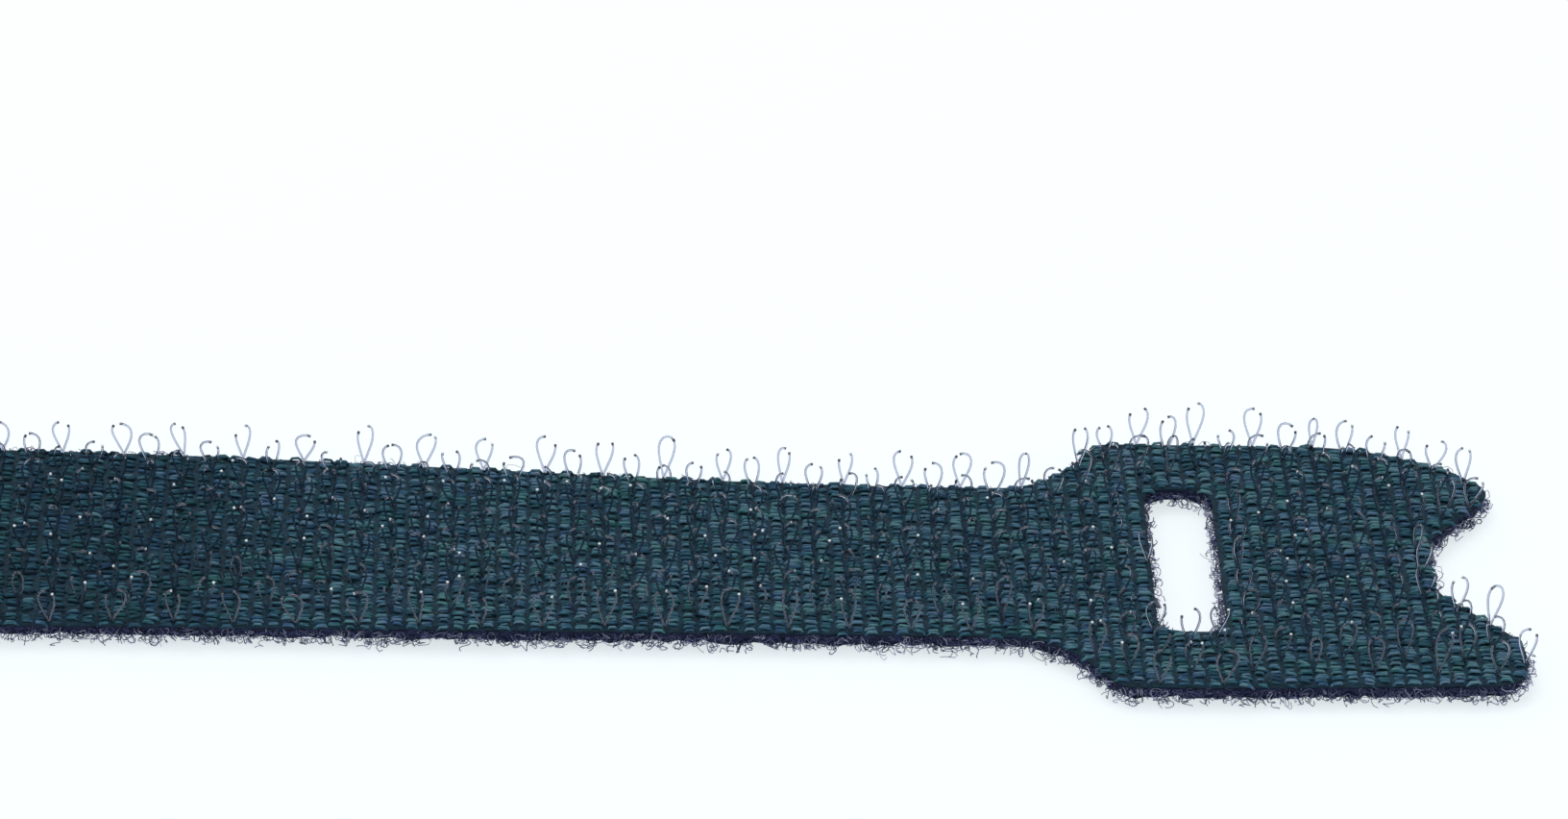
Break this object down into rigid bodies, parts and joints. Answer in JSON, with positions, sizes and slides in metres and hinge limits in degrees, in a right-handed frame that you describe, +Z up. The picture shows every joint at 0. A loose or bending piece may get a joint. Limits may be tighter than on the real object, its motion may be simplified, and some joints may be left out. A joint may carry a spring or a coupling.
{
  "type": "hook and loop cable tie",
  "caption": "Flat one-piece woven cable tie, hooks on one face and loop pile on the other, with a slotted head and an uneven fishtail end.",
  "frame": {"origin": "middle of the tie's length and width, on the surface that it lies on", "axes": "+X along the tie towards the slotted head, +Y across it, +Z up, the way the hooks stand"},
  "size_m": [0.15, 0.0194, 0.0046],
  "materials": {
    "black_nylon_weave": "blue-black woven nylon, matt, with a ribbed hook face and a napped loop back"
  },
  "bodies": {
    "root": {"cable_tie": "black_nylon_weave"}
  },
  "joints": []
}
